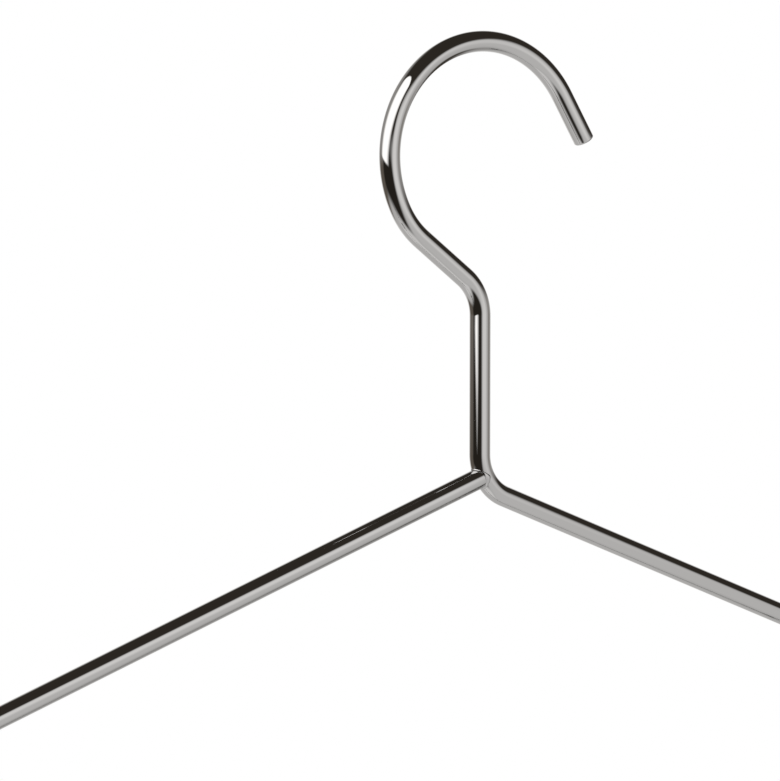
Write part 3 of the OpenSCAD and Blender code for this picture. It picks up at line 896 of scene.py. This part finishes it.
def makeRoomMaterial():
    material = bpy.data.materials.new("studioCards")
    material.use_nodes = True
    material.cycles.emission_sampling = "NONE"
    tree = material.node_tree
    tree.nodes.clear()
    coords = addNode(tree, "ShaderNodeTexCoord").outputs["Object"]
    direction = addNode(tree, "ShaderNodeVectorMath", operation="NORMALIZE")
    tree.links.new(coords, direction.inputs[0])
    direction = direction.outputs[0]
    parts = addNode(tree, "ShaderNodeSeparateXYZ")
    tree.links.new(direction, parts.inputs[0])
    azimuth = calc(tree, "ARCTAN2", parts.outputs["X"], calc(tree, "MULTIPLY", parts.outputs["Y"], -1.0))
    azimuth = calc(tree, "MULTIPLY", azimuth, 180 / math.pi)
    elevation = calc(tree, "MULTIPLY", calc(tree, "ARCSINE", parts.outputs["Z"]), 180 / math.pi)
    cardGroup = makeCardGroup()
    colour = cardColour(darkLevel)
    for card in cards:
        made = addNode(tree, "ShaderNodeGroup", node_tree=cardGroup, label=card["name"])
        for name, value in (("Azimuth", azimuth), ("Elevation", elevation),
                            ("Centre Azimuth", card["azimuth"]), ("Centre Elevation", card["elevation"]),
                            ("Half Wide", card["halfWide"]), ("Half High", card["halfHigh"]),
                            ("Tilt", math.radians(card["tilt"])), ("Corner", card["corner"]),
                            ("Soft", card["soft"])):
            feed(tree, value, made.inputs[name])
        colour = mixColour(tree, made.outputs["Mask"], colour, cardColour(card["level"]))
    colour = mixColour(tree, softboxMask(tree, direction), colour, cardColour(softbox["level"]))
    glow = addNode(tree, "ShaderNodeEmission")
    tree.links.new(colour, glow.inputs["Color"])
    output = addNode(tree, "ShaderNodeOutputMaterial")
    tree.links.new(glow.outputs[0], output.inputs["Surface"])
    return material


def addStageMesh(name, mesh, material):
    data = bpy.data.meshes.new(name)
    mesh.to_mesh(data)
    mesh.free()
    data.materials.append(material)
    piece = bpy.data.objects.new(name, data)
    bpy.context.scene.collection.objects.link(piece)
    return piece


def makeRoom():
    mesh = bmesh.new()
    corners = {}
    for wayX in (-1, 1):
        for wayY in (-1, 1):
            for wayZ in (-1, 1):
                corners[wayX, wayY, wayZ] = mesh.verts.new((
                    room["right"] if wayX > 0 else -room["left"],
                    room["back"] if wayY > 0 else -room["front"],
                    room["up"] if wayZ > 0 else -room["down"]))
    for axis in range(3):
        for way in (-1, 1):
            face = []
            for first, second in ((-1, -1), (1, -1), (1, 1), (-1, 1)):
                key = [first, second]
                key.insert(axis, way)
                face.append(corners[tuple(key)])
            mesh.faces.new(face)
    piece = addStageMesh("studioRoom", mesh, makeRoomMaterial())
    piece.location = (hookCentre[0] * mm, 0, hookCentre[1] * mm)
    piece.visible_camera = False
    piece.visible_diffuse = False
    piece.visible_shadow = False
    piece.visible_transmission = False


def makeWorld():
    world = bpy.data.worlds.new("studioLight")
    bpy.context.scene.world = world
    world.use_nodes = True
    tree = world.node_tree
    tree.nodes.clear()
    rays = addNode(tree, "ShaderNodeLightPath")
    seen = mixColour(tree, rays.outputs["Is Camera Ray"], (stage["softLight"],) * 3, (1.0, 1.0, 1.0))
    background = addNode(tree, "ShaderNodeBackground")
    tree.links.new(seen, background.inputs["Color"])
    output = addNode(tree, "ShaderNodeOutputWorld")
    tree.links.new(background.outputs[0], output.inputs["Surface"])


def makeFloor():
    material = bpy.data.materials.new("floorPale")
    material.use_nodes = True
    tree = material.node_tree
    tree.nodes.clear()
    flat = addNode(tree, "ShaderNodeVectorMath", operation="MULTIPLY")
    flat.inputs[1].default_value = (1, 1, 0)
    tree.links.new(addNode(tree, "ShaderNodeTexCoord").outputs["Object"], flat.inputs[0])
    length = addNode(tree, "ShaderNodeVectorMath", operation="LENGTH")
    tree.links.new(flat.outputs[0], length.inputs[0])
    far = fade(tree, length.outputs["Value"], stage["whiteFrom"], stage["whiteTo"])
    rays = addNode(tree, "ShaderNodeLightPath")
    diffuse = addNode(tree, "ShaderNodeBsdfDiffuse")
    diffuse.inputs["Color"].default_value = (*stage["floorColour"], 1)
    white = addNode(tree, "ShaderNodeEmission")
    pale = addNode(tree, "ShaderNodeMixShader")  # away from the object the camera sees it as white
    tree.links.new(calc(tree, "MULTIPLY", far, rays.outputs["Is Camera Ray"]), pale.inputs[0])
    tree.links.new(diffuse.outputs[0], pale.inputs[1])
    tree.links.new(white.outputs[0], pale.inputs[2])
    oneSided = addNode(tree, "ShaderNodeMixShader")  # clear when it is seen from below
    tree.links.new(addNode(tree, "ShaderNodeNewGeometry").outputs["Backfacing"], oneSided.inputs[0])
    tree.links.new(pale.outputs[0], oneSided.inputs[1])
    tree.links.new(addNode(tree, "ShaderNodeBsdfTransparent").outputs[0], oneSided.inputs[2])
    output = addNode(tree, "ShaderNodeOutputMaterial")
    tree.links.new(oneSided.outputs[0], output.inputs["Surface"])
    mesh = bmesh.new()
    half = stage["floorSize"] / 2
    mesh.faces.new([mesh.verts.new((x * half, y * half, stage["floorZ"]))
                    for x, y in ((-1, -1), (1, -1), (1, 1), (-1, 1))])
    addStageMesh("studioFloor", mesh, material).visible_glossy = False


def makeLamp():
    light = bpy.data.lights.new("softLamp", "AREA")
    light.shape = "RECTANGLE"
    light.size, light.size_y = stage["lampSize"]
    light.energy = stage["lampPower"]
    lamp = bpy.data.objects.new("softLamp", light)
    bpy.context.scene.collection.objects.link(lamp)
    lamp.location = stage["lampPlace"]
    aim = Vector((0, 0, -0.1)) - lamp.location
    lamp.rotation_euler = aim.to_track_quat("-Z", "Y").to_euler()
    lamp.visible_glossy = False
    lamp.visible_camera = False


makeRoom()
makeWorld()
makeFloor()
makeLamp()

# the camera's values come from a fit to the rods' outline in the photo
camera = {"place": (-1.11216, -1.55429, -0.00957), "turn": (87.8601, -0.1142, -34.916), "lens": 368.76}
cameraData = bpy.data.cameras.new("photoCamera")
cameraData.sensor_width = 36.0
cameraData.lens = camera["lens"]
cameraData.clip_end = 100.0
cameraObject = bpy.data.objects.new("photoCamera", cameraData)
bpy.context.scene.collection.objects.link(cameraObject)
cameraObject.location = camera["place"]
cameraObject.rotation_euler = [math.radians(a) for a in camera["turn"]]
bpy.context.scene.camera = cameraObject
bpy.context.scene.view_settings.view_transform = "Standard"
print("studio made")
